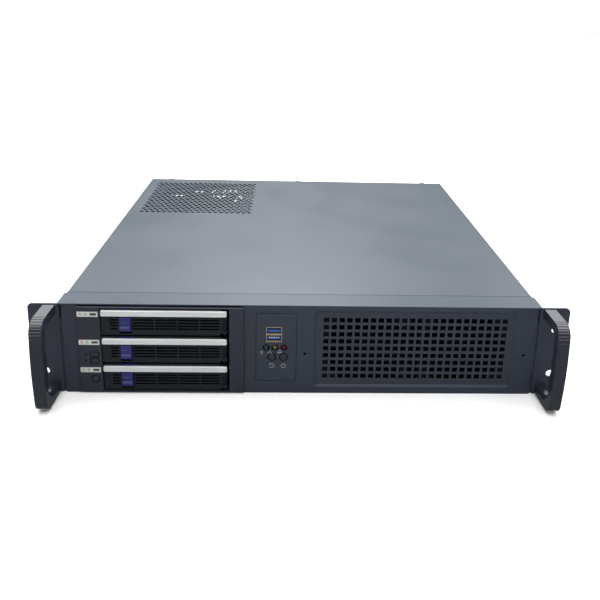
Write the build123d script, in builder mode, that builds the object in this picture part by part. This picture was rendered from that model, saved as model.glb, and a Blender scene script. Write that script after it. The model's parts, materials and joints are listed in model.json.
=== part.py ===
from build123d import *
from math import cos, radians, sin
import os

# A 2U rack-mounted storage enclosure. All sizes are in millimetres.
# X runs to the right as seen from the front, Y runs from front to back, +Z is up.
# The origin is the centre of the bounding box at the case's underside.

# ---- Driving dimensions ------------------------------------------------------
BODY_WIDTH = 428.0
BODY_HEIGHT = 88.0
BODY_DEPTH = 400.0
SHEET = 1.2                 # folded steel of the pan, front and rear
COVER_SHEET = 1.0
RACK_WIDTH = 482.6          # over both ears
RACK_HOLE_SPACING_X = 465.1
RACK_HOLE_SPACING_Z = 44.45
HANDLE_REACH = 36.0         # how far the handles stand out in front
THUMBSCREW_REACH = 8.0      # how far the thumbscrew heads stand out behind

BAY_COUNT = 3
BAY_PITCH = 27.4
BAY_BASE = 4.1              # underside of the lowest tray front
LEVER_HEIGHT = 25.7
LEVER_LEFT = -177.8
LEVER_FACE = -1.6           # in front of the front plane
HINGE_X = -69.5
HINGE_SETBACK = 0.2
HINGE_PIN_RADIUS = 0.9
HINGE_CLEARANCE = 0.08
BARREL_RADIUS = 2.6

DRIVE_WIDTH = 101.6         # a 3.5 inch hard drive
DRIVE_LENGTH = 147.0
DRIVE_HEIGHT = 25.4

GRILLE_PITCH = 7.05
GRILLE_HOLE = 4.9
GRILLE_COLUMNS = 24
GRILLE_ROWS = 9
VENT_PITCH_X = 7.08
VENT_PITCH_Y = 12.7         # from one row to the next row in line with it
VENT_HOLE_RADIUS = 2.6
VENT_COLUMNS = 20
VENT_ROWS = 11

FAN_SIZE = 80.0
FAN_THICKNESS = 25.0
PSU_FAN_RADIUS = 57.0

# ---- Derived places ----------------------------------------------------------
HALF_WIDTH = BODY_WIDTH / 2
FRONT = HANDLE_REACH - (HANDLE_REACH + BODY_DEPTH + THUMBSCREW_REACH) / 2
REAR = FRONT + BODY_DEPTH
COVER_START = FRONT + 23.0
COVER_UNDERSIDE = BODY_HEIGHT - COVER_SHEET
JOGGLE = 1.6                # the pan's sides step in here to take the cover's flanges
JOGGLE_HEIGHT = 72.5
RACK_HOLE_X = RACK_HOLE_SPACING_X / 2
RACK_HOLE_Z = BODY_HEIGHT / 2 - RACK_HOLE_SPACING_Z / 2
LEVER_RIGHT = HINGE_X + BARREL_RADIUS
BAY_CENTRE = (LEVER_LEFT + LEVER_RIGHT) / 2
HINGE_Y = FRONT + HINGE_SETBACK

os.makedirs("parts", exist_ok=True)


# ---- Helpers, each used inside a BuildPart block -------------------------------
def slab(x, y, z, mode=Mode.ADD):
    """A box between its low and high limits on each axis."""
    with Locations(((x[0] + x[1]) / 2, (y[0] + y[1]) / 2, (z[0] + z[1]) / 2)):
        Box(x[1] - x[0], y[1] - y[0], z[1] - z[0], mode=mode)


def rod_x(y, z, x, radius, mode=Mode.ADD):
    """A round bar along X."""
    with Locations(Location(((x[0] + x[1]) / 2, y, z), (0, 90, 0))):
        Cylinder(radius, x[1] - x[0], mode=mode)


def rod_y(x, z, y, radius, mode=Mode.ADD):
    """A round bar along Y."""
    with Locations(Location((x, (y[0] + y[1]) / 2, z), (90, 0, 0))):
        Cylinder(radius, y[1] - y[0], mode=mode)


def rod_z(x, y, z, radius, mode=Mode.ADD):
    """A round bar along Z."""
    with Locations((x, y, (z[0] + z[1]) / 2)):
        Cylinder(radius, z[1] - z[0], mode=mode)


def facing_front(y):
    """A sketch plane at depth y whose normal points to the front."""
    return Plane(origin=(0, y, 0), x_dir=(1, 0, 0), z_dir=(0, -1, 0))


def save(builder, name):
    builder.part.label = name
    export_step(builder.part, f"parts/{name}.step")


# ---- Case ------------------------------------------------------------------
MODULE_X = (-199.4, -52.2)
MODULE_Z = (1.6, 85.7)
MODULE_RAIL = 0.9           # the bezel's thin edges above and below the bays
MODULE_OPENING_X = (-198.5, -53.1)
MODULE_OPENING_Z = (2.2, 86.9)
GRILLE_CENTRE = (102.4, 45.0)
GRILLE_FIELD = (183.8, 76.4)
EMBOSS_DEPTH = 1.5
PLATE_X = (-41.3, -5.4)
PLATE_Z = (12.8, 79.9)
PLATE_GAP = 0.45
PANEL_SCREWS = ((2.6, 40.2), (203.3, 40.2))
PANEL_SCREW_RADIUS = 1.45
PSU_X = (-206.0, -58.0)
PSU_Y = (REAR - 142.0, REAR - 2.8)
PSU_Z = (SHEET, 85.0)
IO_X = (44.0, 202.75)
IO_Z = (9.0, 53.45)
SLOT_COUNT = 4
SLOT_X = 29.5               # centre of the first expansion slot
SLOT_PITCH = 20.32
SLOT_Z = (7.0, 83.0)
THUMBSCREW_X = (-188.0, 0.0, 188.0)
THUMBSCREW_Z = 81.5

# The pan is a folded U whose upper edges return inwards.
PAN_LIP = 9.0
PAN_TOP = BODY_HEIGHT - 1.6
PAN_NECK = HALF_WIDTH - JOGGLE
with BuildPart() as base_pan:
    with BuildSketch(facing_front(REAR - JOGGLE)):
        with BuildLine():
            Polyline(
                (-HALF_WIDTH, 0), (HALF_WIDTH, 0), (HALF_WIDTH, JOGGLE_HEIGHT),
                (PAN_NECK, JOGGLE_HEIGHT + JOGGLE), (PAN_NECK, PAN_TOP),
                (-PAN_NECK, PAN_TOP), (-PAN_NECK, JOGGLE_HEIGHT + JOGGLE),
                (-HALF_WIDTH, JOGGLE_HEIGHT), close=True)
        make_face()
        with BuildLine():
            inner = HALF_WIDTH - SHEET
            Polyline(
                (-inner, SHEET), (inner, SHEET), (inner, JOGGLE_HEIGHT - 0.5),
                (inner - JOGGLE, JOGGLE_HEIGHT + JOGGLE - 0.5), (inner - JOGGLE, PAN_TOP - SHEET),
                (inner - JOGGLE - PAN_LIP, PAN_TOP - SHEET), (inner - JOGGLE - PAN_LIP, PAN_TOP + 1),
                (-inner + JOGGLE + PAN_LIP, PAN_TOP + 1), (-inner + JOGGLE + PAN_LIP, PAN_TOP - SHEET),
                (-inner + JOGGLE, PAN_TOP - SHEET), (-inner + JOGGLE, JOGGLE_HEIGHT + JOGGLE - 0.5),
                (-inner, JOGGLE_HEIGHT - 0.5), close=True)
        make_face(mode=Mode.SUBTRACT)
    extrude(amount=BODY_DEPTH - JOGGLE - SHEET)
save(base_pan, "base_pan")

# The front is one folded sheet: the face, a strip along the top and short side returns.
# The face is a little narrower than the case, so a dark line shows beside each ear.
STRIP_DEPTH = 22.5
FACE_HALF = HALF_WIDTH - 1.3
with BuildPart() as front_panel:
    slab((-FACE_HALF, FACE_HALF), (FRONT, FRONT + SHEET), (0, BODY_HEIGHT - SHEET))
    slab((-HALF_WIDTH, HALF_WIDTH), (FRONT, FRONT + STRIP_DEPTH), (BODY_HEIGHT - SHEET, BODY_HEIGHT))
    for side in (-1, 1):
        edge = sorted((side * HALF_WIDTH, side * (HALF_WIDTH - SHEET)))
        slab(edge, (FRONT + STRIP_DEPTH / 4, FRONT + STRIP_DEPTH), (74.4, BODY_HEIGHT))
    face_corners = front_panel.edges().filter_by(Axis.Z).filter_by_position(Axis.Y, FRONT, FRONT)
    fillet(face_corners.sort_by(SortBy.LENGTH)[-2:], radius=0.6)
    fillet(front_panel.edges().filter_by(Axis.X).group_by(Axis.Y)[0].sort_by(Axis.Z)[-1], radius=0.8)
    # The pressed field around the grille is a shallow dish.
    with Locations((GRILLE_CENTRE[0], FRONT + SHEET + EMBOSS_DEPTH / 2, GRILLE_CENTRE[1])):
        Box(GRILLE_FIELD[0] + 2.0, EMBOSS_DEPTH, GRILLE_FIELD[1] + 2.0)
    with BuildSketch(facing_front(FRONT)):
        with Locations(GRILLE_CENTRE):
            RectangleRounded(*GRILLE_FIELD, radius=4.0)
    extrude(amount=-EMBOSS_DEPTH, taper=50, mode=Mode.SUBTRACT)
    slab(MODULE_OPENING_X, (FRONT - 1, FRONT + SHEET + 1), MODULE_OPENING_Z, mode=Mode.SUBTRACT)
    with BuildSketch(facing_front(FRONT + SHEET)):
        with Locations(((PLATE_X[0] + PLATE_X[1]) / 2, (PLATE_Z[0] + PLATE_Z[1]) / 2)):
            RectangleRounded(PLATE_X[1] - PLATE_X[0] + 2 * PLATE_GAP,
                             PLATE_Z[1] - PLATE_Z[0] + 2 * PLATE_GAP, radius=2.4)
    extrude(amount=SHEET, mode=Mode.SUBTRACT)
    for x, z in PANEL_SCREWS:
        rod_y(x, z, (FRONT - 1, FRONT + SHEET + 1), PANEL_SCREW_RADIUS, mode=Mode.SUBTRACT)
    with BuildSketch(facing_front(FRONT + SHEET + EMBOSS_DEPTH)):
        with Locations(GRILLE_CENTRE):
            with GridLocations(GRILLE_PITCH, GRILLE_PITCH, GRILLE_COLUMNS, GRILLE_ROWS):
                Rectangle(GRILLE_HOLE, GRILLE_HOLE)
    extrude(amount=SHEET + EMBOSS_DEPTH, mode=Mode.SUBTRACT)
save(front_panel, "front_panel")

# The cover has a staggered field of round holes above the power supply.
VENT_CENTRE = (-129.9, FRONT + 314.5)
with BuildPart() as top_cover:
    slab((-HALF_WIDTH, HALF_WIDTH), (COVER_START, REAR), (COVER_UNDERSIDE, BODY_HEIGHT))
    for side in (-1, 1):
        edge = sorted((side * HALF_WIDTH, side * (HALF_WIDTH - COVER_SHEET)))
        slab(edge, (COVER_START, REAR), (JOGGLE_HEIGHT + JOGGLE + 0.4, BODY_HEIGHT))
    slab((-HALF_WIDTH, HALF_WIDTH), (REAR - COVER_SHEET, REAR), (76.0, BODY_HEIGHT))
    fillet(top_cover.edges().filter_by(Axis.Y).group_by(Axis.Z)[-1], radius=0.9)
    for x in THUMBSCREW_X:
        rod_y(x, THUMBSCREW_Z, (REAR - 2, REAR + 1), 1.6, mode=Mode.SUBTRACT)
    with BuildSketch(Plane.XY.offset(COVER_UNDERSIDE)):
        with Locations(VENT_CENTRE):
            with GridLocations(VENT_PITCH_X, VENT_PITCH_Y, VENT_COLUMNS, VENT_ROWS):
                Circle(VENT_HOLE_RADIUS)
            with GridLocations(VENT_PITCH_X, VENT_PITCH_Y, VENT_COLUMNS - 1, VENT_ROWS - 1):
                Circle(VENT_HOLE_RADIUS)
    extrude(amount=COVER_SHEET, mode=Mode.SUBTRACT)
save(top_cover, "top_cover")

# Three captive thumbscrews hold the cover's rear flange.
with BuildPart() as cover_screws:
    for x in THUMBSCREW_X:
        rod_y(x, THUMBSCREW_Z, (REAR, REAR + 1.5), 5.0)
        rod_y(x, THUMBSCREW_Z, (REAR + 1.5, REAR + THUMBSCREW_REACH), 5.6)
        rod_y(x, THUMBSCREW_Z, (REAR - JOGGLE - SHEET, REAR), 1.6)
        slab((x - 0.6, x + 0.6), (REAR + THUMBSCREW_REACH - 1.2, REAR + THUMBSCREW_REACH + 1),
             (THUMBSCREW_Z - 6, THUMBSCREW_Z + 6), mode=Mode.SUBTRACT)
save(cover_screws, "cover_screws")

# The rear wall has openings for the power supply, the ports and the expansion slots.
REAR_FACE = REAR - JOGGLE
REAR_VENT = (123.0, 68.0)
REAR_VENT_PITCH = 7.0
with BuildPart() as rear_panel:
    inner = PAN_NECK - SHEET
    through = (REAR_FACE - 5, REAR_FACE + 1)
    slab((-inner, inner), (REAR_FACE - SHEET, REAR_FACE), (SHEET, PAN_TOP - SHEET))
    slab((PSU_X[0] + 2, PSU_X[1] - 2), through, (4.0, 82.0), mode=Mode.SUBTRACT)
    slab(IO_X, through, IO_Z, mode=Mode.SUBTRACT)
    for slot in range(SLOT_COUNT):
        x = SLOT_X - slot * SLOT_PITCH
        slab((x - 6.5, x + 6.5), through, SLOT_Z, mode=Mode.SUBTRACT)
    for x in THUMBSCREW_X:
        rod_y(x, THUMBSCREW_Z, through, 2.1, mode=Mode.SUBTRACT)
    with BuildSketch(facing_front(REAR_FACE)):
        with Locations(REAR_VENT):
            with GridLocations(REAR_VENT_PITCH, REAR_VENT_PITCH, 22, 3):
                RegularPolygon(2.9, 6)
    extrude(amount=SHEET, mode=Mode.SUBTRACT)
save(rear_panel, "rear_panel")

# ---- Rack ears and handles -----------------------------------------------------
EAR_SHEET = 2.0
EAR_BEND = 2.6              # outer radius of the ear's bend
EAR_FLANGE = 52.0
EAR_Z = (0.6, 87.6)
SLOT_WIDTH = 7.0
SLOT_LENGTH = 12.4
HANDLE_X = (217.2, 228.0)
HANDLE_MIDDLE = (HANDLE_X[0] + HANDLE_X[1]) / 2
HANDLE_SCREW_RADIUS = 2.0
HANDLE_SCREW_Z = (7.4, 82.2)
EAR_SCREWS = ((30.0, 14.0), (30.0, 60.0), (44.0, 37.0))

# The handle's outline, as (forward, height) points in its side view.
ARM_TOP = 87.0
ARM_BOTTOM = 1.8
ARM = 9.0
CORNER = 12.0
SCALLOPS = 3
SCALLOP_DEPTH = 1.4
GROOVES = 7
GROOVE_STEP = 13            # degrees around the upper corner
GROOVE_RADIUS = 0.75
GROOVE_LIFT = 0.25          # each groove's centre stands this far outside the surface


def ear(side):
    """The L-shaped ear on one side, with its two slotted rack holes."""
    inner_x = HALF_WIDTH
    with BuildPart() as bracket:
        with BuildSketch(Plane.XY.offset(EAR_Z[0])):
            with BuildLine():
                Polyline(
                    (side * inner_x, FRONT), (side * RACK_WIDTH / 2, FRONT),
                    (side * RACK_WIDTH / 2, FRONT + EAR_SHEET),
                    (side * (inner_x + EAR_SHEET), FRONT + EAR_SHEET),
                    (side * (inner_x + EAR_SHEET), FRONT + EAR_FLANGE),
                    (side * inner_x, FRONT + EAR_FLANGE), close=True)
            make_face()
        extrude(amount=EAR_Z[1] - EAR_Z[0])
        bend = bracket.edges().filter_by(Axis.Z).filter_by_position(Axis.Y, FRONT, FRONT)
        fillet(bend.sort_by(Axis.X)[0 if side > 0 else -1], radius=EAR_BEND)
        tips = bracket.edges().filter_by(Axis.Y).filter_by_position(Axis.Y, FRONT, FRONT + EAR_SHEET)
        outer_tips = tips.group_by(Axis.X)[-1 if side > 0 else 0]
        fillet(outer_tips, radius=4.0)
        # Behind the front strip the flange stays below the cover.
        slab(sorted((side * (inner_x - 1), side * (inner_x + EAR_SHEET + 1))),
             (COVER_START - 1, FRONT + EAR_FLANGE + 1), (JOGGLE_HEIGHT - 1, 90), mode=Mode.SUBTRACT)
        with BuildSketch(facing_front(FRONT + EAR_SHEET)):
            with Locations((side * RACK_HOLE_X, BODY_HEIGHT / 2)):
                with GridLocations(0, RACK_HOLE_SPACING_Z, 1, 2):
                    SlotOverall(SLOT_LENGTH, SLOT_WIDTH)
        extrude(amount=EAR_SHEET, mode=Mode.SUBTRACT)
        for z in HANDLE_SCREW_Z:
            rod_y(side * HANDLE_MIDDLE, z, (FRONT - 1, FRONT + 9), HANDLE_SCREW_RADIUS, mode=Mode.SUBTRACT)
        across = sorted((side * (inner_x - 1), side * (inner_x + 5)))
        for y, z in EAR_SCREWS:
            rod_x(FRONT + y, z, across, 1.5, mode=Mode.SUBTRACT)
    return bracket


def handle(side):
    """One moulded handle: a bowed grip on two arms, with ribs at its corners."""
    root = FRONT
    front = FRONT - HANDLE_REACH
    shoulder = front + 1.4
    heel = 9.0
    with BuildPart() as grip:
        with BuildSketch(Plane.YZ.offset(min(side * HANDLE_X[0], side * HANDLE_X[1]))):
            with BuildLine():
                Line((root, ARM_BOTTOM), (root, ARM_TOP))
                Line((root, ARM_TOP), (shoulder + CORNER, ARM_TOP))
                RadiusArc((shoulder + CORNER, ARM_TOP), (shoulder, ARM_TOP - CORNER), -CORNER)
                foot = shoulder + 0.6
                ThreePointArc((shoulder, ARM_TOP - CORNER), (front, 46.0), (foot, ARM_BOTTOM + heel))
                RadiusArc((foot, ARM_BOTTOM + heel), (foot + heel, ARM_BOTTOM), -heel)
                Line((foot + heel, ARM_BOTTOM), (root, ARM_BOTTOM))
            make_face()
            # The finger gap: square at the top, scalloped along the grip, round at the bottom.
            inner_front = front + 10.0
            gap_top = ARM_TOP - ARM
            gap_bottom = ARM_BOTTOM + ARM
            bowl = 10.0
            scallop_top = gap_top - 12.0
            scallop_step = (scallop_top - gap_bottom - bowl) / SCALLOPS
            with BuildLine():
                Polyline((inner_front + bowl, gap_bottom), (root + 1, gap_bottom), (root + 1, gap_top),
                         (inner_front + 8.0, gap_top))
                RadiusArc((inner_front + 8.0, gap_top), (inner_front, gap_top - 8.0), -8.0)
                Line((inner_front, gap_top - 8.0), (inner_front, scallop_top))
                for index in range(SCALLOPS):
                    high = scallop_top - index * scallop_step
                    middle = (inner_front - SCALLOP_DEPTH, high - scallop_step / 2)
                    ThreePointArc((inner_front, high), middle, (inner_front, high - scallop_step))
                RadiusArc((inner_front, gap_bottom + bowl), (inner_front + bowl, gap_bottom), -bowl)
            make_face(mode=Mode.SUBTRACT)
        extrude(amount=HANDLE_X[1] - HANDLE_X[0])
        # The lower arm is well rounded above; every other rim is only eased.
        low_arm_rims = grip.edges().filter_by(Axis.Y).filter_by_position(Axis.Z, gap_bottom, gap_bottom)
        fillet(low_arm_rims, radius=3.5)
        for cheek in (grip.faces().sort_by(Axis.X)[0], grip.faces().sort_by(Axis.X)[-1]):
            outline = [edge for edge in cheek.edges()
                       if abs(edge.center().Y - root) > 0.1 and abs(edge.center().Z - gap_bottom) > 3]
            fillet(outline, radius=0.8)
        # Grip grooves around the upper corner and at the lower one.
        across = sorted((side * (HANDLE_X[0] - 1), side * (HANDLE_X[1] + 1)))
        for step in range(GROOVES):
            angle = radians(96 + GROOVE_STEP * step)
            y = shoulder + CORNER + (CORNER + GROOVE_LIFT) * cos(angle)
            z = ARM_TOP - CORNER + (CORNER + GROOVE_LIFT) * sin(angle)
            rod_x(y, z, across, GROOVE_RADIUS, mode=Mode.SUBTRACT)
        for z in (72.6, 14.6, 12.4, 10.2):
            rod_x(shoulder - GROOVE_LIFT, z, across, GROOVE_RADIUS, mode=Mode.SUBTRACT)
        for z in HANDLE_SCREW_Z:
            rod_y(side * HANDLE_MIDDLE, z, (FRONT - 12, FRONT + 1), HANDLE_SCREW_RADIUS, mode=Mode.SUBTRACT)
    return grip


save(ear(-1), "ear_left")
save(ear(1), "ear_right")
save(handle(-1), "handle_left")
save(handle(1), "handle_right")

# Two machine screws through the ear hold each handle, and three hold the ear to the case.
with BuildPart() as ear_screws:
    for side in (-1, 1):
        for z in HANDLE_SCREW_Z:
            rod_y(side * HANDLE_MIDDLE, z, (FRONT - 11.5, FRONT + EAR_SHEET), HANDLE_SCREW_RADIUS)
            rod_y(side * HANDLE_MIDDLE, z, (FRONT + EAR_SHEET, FRONT + EAR_SHEET + 2.2), 3.5)
        head = HALF_WIDTH + EAR_SHEET
        for y, z in EAR_SCREWS:
            rod_x(FRONT + y, z, sorted((side * HALF_WIDTH, side * head)), 1.5)
            rod_x(FRONT + y, z, sorted((side * head, side * (head + 1.4))), 2.8)
save(ear_screws, "ear_screws")

# ---- Drive module ----------------------------------------------------------------
POST_LEFT_EDGE = -178.7
POST_RIGHT_EDGE = -65.3
BEZEL_FACE = FRONT - 2.0
# Small steel tabs let into the right post, where each lever's heel bears as it ejects the tray.
STRIKE_X = (POST_RIGHT_EDGE, POST_RIGHT_EDGE + 0.6)
STRIKE_BACK = FRONT + 6.0
BEZEL_BACK = FRONT + 12.0
LABEL_X = (-198.2, -180.2)
LABEL_RISE = 17.5           # from a bay's base to its label
LABEL_HEIGHT = 4.9
BUTTON_CLEARANCE = 0.35
BUTTON_TRAVEL = 1.0
MUTE_X = -185.1
MUTE_Z = 15.0
MUTE_RADIUS = 3.1
WINDOW_CENTRES = ((-185.1, 39.3), (-185.1, 33.1))
WINDOW_SIZE = (7.0, 4.4)
WINDOW_RADIUS = 1.3


def bay_base(bay):
    """The height of one bay's tray front; bay 1 is the top one."""
    return BAY_BASE + BAY_PITCH * (BAY_COUNT - bay)


def strike_z(bay):
    """The height range of one bay's ejector strike."""
    return bay_base(bay) + 21.2, bay_base(bay) + 25.3


BAYS = range(1, BAY_COUNT + 1)

with BuildPart() as cage_bezel:
    slab(MODULE_X, (BEZEL_FACE, FRONT), MODULE_Z)
    post_z = (MODULE_OPENING_Z[0] + 0.2, MODULE_Z[1] - 0.3)
    slab((MODULE_OPENING_X[0] + 0.2, POST_LEFT_EDGE), (FRONT, BEZEL_BACK), post_z)
    slab((POST_RIGHT_EDGE, MODULE_OPENING_X[1] - 0.2), (FRONT, BEZEL_BACK), post_z)
    face_edges = cage_bezel.edges().filter_by_position(Axis.Y, BEZEL_FACE, BEZEL_FACE)
    fillet(face_edges, radius=0.6)
    slab((POST_LEFT_EDGE, POST_RIGHT_EDGE), (BEZEL_FACE - 1, FRONT + 1),
         (BAY_BASE - 1.2, MODULE_Z[1] - MODULE_RAIL), mode=Mode.SUBTRACT)
    for bay in BAYS:
        label_z = bay_base(bay) + LABEL_RISE
        slab(LABEL_X, (BEZEL_FACE - 1, BEZEL_FACE + 0.5), (label_z, label_z + LABEL_HEIGHT),
             mode=Mode.SUBTRACT)
    with BuildSketch(facing_front(BEZEL_FACE)):
        with Locations(*WINDOW_CENTRES):
            RectangleRounded(WINDOW_SIZE[0] + 0.8, WINDOW_SIZE[1] + 0.8, radius=WINDOW_RADIUS + 0.4)
    extrude(amount=-1.0, mode=Mode.SUBTRACT)
    rod_y(MUTE_X, MUTE_Z, (BEZEL_FACE - 1, FRONT + 7.0), MUTE_RADIUS + BUTTON_CLEARANCE, mode=Mode.SUBTRACT)
    for bay in BAYS:
        slab(STRIKE_X, (BEZEL_FACE - 1, STRIKE_BACK), strike_z(bay), mode=Mode.SUBTRACT)
save(cage_bezel, "cage_bezel")

with BuildPart() as bay_labels:
    for bay in BAYS:
        label_z = bay_base(bay) + LABEL_RISE
        slab(LABEL_X, (BEZEL_FACE - 0.1, BEZEL_FACE + 0.5), (label_z, label_z + LABEL_HEIGHT))
save(bay_labels, "bay_labels")

with BuildPart() as alarm_windows:
    with BuildSketch(facing_front(BEZEL_FACE + 0.1)):
        with Locations(*WINDOW_CENTRES):
            RectangleRounded(*WINDOW_SIZE, radius=WINDOW_RADIUS)
    extrude(amount=-0.9)
save(alarm_windows, "alarm_windows")

with BuildPart() as mute_button:
    rod_y(MUTE_X, MUTE_Z, (BEZEL_FACE - 0.2, FRONT + 5.0), MUTE_RADIUS)
    fillet(mute_button.edges().filter_by(GeomType.CIRCLE).sort_by(Axis.Y)[0], radius=0.4)
save(mute_button, "mute_button")

with BuildPart() as ejector_strikes:
    for bay in BAYS:
        slab(STRIKE_X, (BEZEL_FACE + 0.1, STRIKE_BACK), strike_z(bay))
save(ejector_strikes, "ejector_strikes")

CAGE_HALF = 57.2            # from the bay's centre to the inside of the cage wall
CAGE_SHEET = 1.0
CAGE_BACK = FRONT + 172.0
BACKPLANE_Y = FRONT + 168.2
ARM_INNER = DRIVE_WIDTH / 2 + 0.2
ARM_OUTER = 55.6
with BuildPart() as drive_cage:
    wall_l = BAY_CENTRE - CAGE_HALF - CAGE_SHEET
    wall_r = BAY_CENTRE + CAGE_HALF
    for wall in (wall_l, wall_r):
        slab((wall, wall + CAGE_SHEET), (BEZEL_BACK, CAGE_BACK), (SHEET, 86.0))
    slab((wall_l, wall_r + CAGE_SHEET), (BEZEL_BACK + 11, CAGE_BACK), (85.0, 86.0))
    for flange in ((wall_l - 8, wall_l), (wall_r + CAGE_SHEET, wall_r + CAGE_SHEET + 8)):
        slab(flange, (BEZEL_BACK, CAGE_BACK), (SHEET, SHEET + CAGE_SHEET))
    for bay in BAYS:
        ledge_z = bay_base(bay) + 0.5
        for side in (-1, 1):
            ledge = sorted((BAY_CENTRE + side * CAGE_HALF, BAY_CENTRE + side * (CAGE_HALF - 2.8)))
            slab(ledge, (BEZEL_BACK, BACKPLANE_Y), (ledge_z, ledge_z + 1.0))
        for wall in (wall_l, wall_r):
            slab((wall - 1, wall + 2), (BEZEL_BACK + 60, CAGE_BACK - 20),
                 (bay_base(bay) + 8, bay_base(bay) + 22), mode=Mode.SUBTRACT)
save(drive_cage, "drive_cage")

with BuildPart() as backplane_board:
    slab((BAY_CENTRE - 56.8, BAY_CENTRE + 56.8), (BACKPLANE_Y, BACKPLANE_Y + 1.6), (3.4, 84.4))
    for bay in BAYS:
        with Locations((BAY_CENTRE + 38, BACKPLANE_Y + 0.8, bay_base(bay) + 16)):
            Box(14, 5, 18, mode=Mode.SUBTRACT)
save(backplane_board, "backplane_board")

with BuildPart() as backplane_sockets:
    for bay in BAYS:
        z = bay_base(bay) + 5.5
        slab((BAY_CENTRE - 33, BAY_CENTRE + 9), (BACKPLANE_Y - 6.6, BACKPLANE_Y), (z, z + 6.0))
save(backplane_sockets, "backplane_sockets")

# ---- Trays, one set per bay ---------------------------------------------------------
LEVER_BACK = FRONT + 6.0
TRAY_WALL = (FRONT + 7.2, FRONT + 9.2)
DRIVE_FRONT = FRONT + 14.0
SLOT_ROWS = 4
SLOT_ROW_PITCH = 2.85
SLOT_ROW_HEIGHT = 1.6
SLOT_ROW_BASE = 5.9
SLOT_SPANS = ((-170.1, -163.7), (-150.3, -131.4), (-130.4, -111.7), (-110.7, -92.2), (-91.2, -74.0))
CHANNEL_X = (-162.2, -151.3)
LATCH_X = (-161.7, -151.8)
BAR_X = (-177.6, -67.5)
BAR_Z = (18.5, 24.0)
BAR_THICKNESS = 1.7
LUG_X = (HINGE_X - 3.0, LEVER_RIGHT)
LUG_HEIGHT = 1.1
LUG_SPACE = 1.8             # the lever's barrel stops this far short of its ends
DRIVE_LIFT = 0.3            # from a bay's base to the drive's underside
SWING_EDGE = HINGE_X - 4.0         # right of this the lever is cut down to clear the tray's lugs


def tray(base):
    """The moulded carrier: a vented front wall, two side arms and the hinge lugs."""
    with BuildPart() as carrier:
        slab((LEVER_LEFT + 1, LEVER_RIGHT - 1.1), TRAY_WALL, (base + 0.8, base + LEVER_HEIGHT - 0.3))
        for side in (-1, 1):
            arm = sorted((BAY_CENTRE + side * ARM_INNER, BAY_CENTRE + side * ARM_OUTER))
            slab(arm, (TRAY_WALL[1], DRIVE_FRONT + DRIVE_LENGTH), (base + 2.0, base + 20.0))
        for y in (40.0, 132.0):
            slab((BAY_CENTRE - ARM_OUTER + 3.2, BAY_CENTRE + ARM_OUTER - 3.2), (FRONT + y, FRONT + y + 10),
                 (base + DRIVE_LIFT - 1.2, base + DRIVE_LIFT))
            for side in (-1, 1):
                foot = sorted((BAY_CENTRE + side * ARM_INNER, BAY_CENTRE + side * (ARM_INNER + 1.2)))
                slab(foot, (FRONT + y, FRONT + y + 10), (base + DRIVE_LIFT - 1.2, base + 2.2))
        with Locations((BAY_CENTRE, (TRAY_WALL[0] + TRAY_WALL[1]) / 2, base + 11.0)):
            with GridLocations(24.0, 0, 3, 1):
                Box(20.0, 10, 11.0, mode=Mode.SUBTRACT)
        # Window that takes the latch's tooth.
        slab((-160.0, -153.5), (TRAY_WALL[0] - 1, TRAY_WALL[1] + 1), (base + 16.6, base + 24.2),
             mode=Mode.SUBTRACT)
        for low in (base + 0.3, base + LEVER_HEIGHT - 0.3 - LUG_HEIGHT):
            slab(LUG_X, (FRONT + LEVER_FACE + 2.6, TRAY_WALL[1]), (low, low + LUG_HEIGHT))
            rod_z(HINGE_X, HINGE_Y, (low, low + LUG_HEIGHT), BARREL_RADIUS - 0.2)
            rod_z(HINGE_X, HINGE_Y, (low - 1, low + LUG_HEIGHT + 1), HINGE_PIN_RADIUS, mode=Mode.SUBTRACT)
    return carrier


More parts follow.
